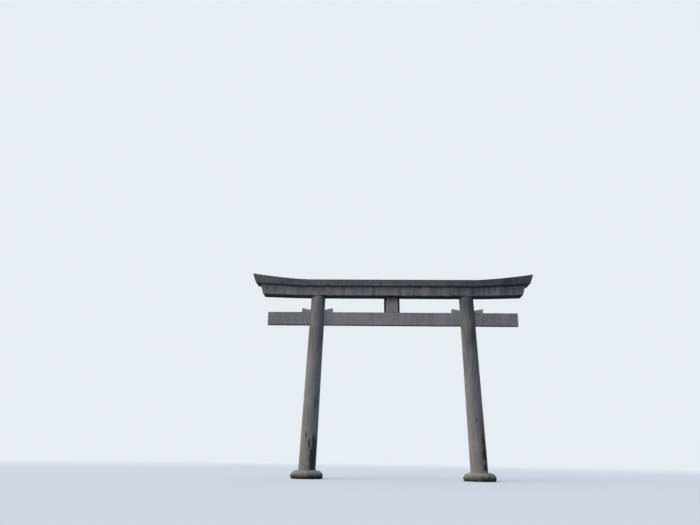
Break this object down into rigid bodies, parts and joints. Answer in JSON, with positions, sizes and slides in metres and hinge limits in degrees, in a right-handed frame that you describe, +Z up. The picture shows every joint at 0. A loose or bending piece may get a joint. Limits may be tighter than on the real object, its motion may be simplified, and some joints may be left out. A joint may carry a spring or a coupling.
{
  "type": "torii gate",
  "caption": "Weathered concrete torii gate: leaning round pillars on cushion-shaped base stones, a wedged tie beam, a centre strut with a bare plaque, and lintels with upswept ends.",
  "frame": {"origin": "on the ground, midway between the pillars, at the middle of the gate's thickness", "axes": "+X along the gate, +Y towards the side that carries the plaque, +Z up"},
  "size_m": [20.9432, 2.2696, 14.721],
  "materials": {
    "base_stone": "weathered, with moss at the edge",
    "pillar_concrete": "smooth weathered concrete with dark lichen",
    "beam_concrete": "smooth weathered concrete",
    "lintel_concrete": "rain-streaked concrete",
    "lintel_concrete_dark": "dark, rain-streaked concrete",
    "black_wood": "weathered black lacquer",
    "old_iron": "rusty iron"
  },
  "bodies": {
    "root": {"base_stone_left": "base_stone", "base_stone_right": "base_stone", "pillar_left": "pillar_concrete", "pillar_right": "pillar_concrete", "tie_beam_left": "beam_concrete", "tie_beam_middle": "beam_concrete", "tie_beam_right": "beam_concrete", "wedge_left_outer": "beam_concrete", "wedge_left_inner": "beam_concrete", "wedge_right_inner": "beam_concrete", "wedge_right_outer": "beam_concrete", "centre_strut": "beam_concrete", "lower_lintel_left": "lintel_concrete", "lower_lintel_middle": "lintel_concrete", "lower_lintel_right": "lintel_concrete", "upper_lintel_left": "lintel_concrete_dark", "upper_lintel_middle": "lintel_concrete_dark", "upper_lintel_right": "lintel_concrete_dark", "plaque_board": "black_wood", "plaque_frame_top": "black_wood", "plaque_frame_bottom": "black_wood", "plaque_frame_left": "black_wood", "plaque_frame_right": "black_wood", "plaque_ledge": "old_iron", "plaque_bracket_left": "old_iron", "plaque_bracket_right": "old_iron"}
  },
  "joints": []
}
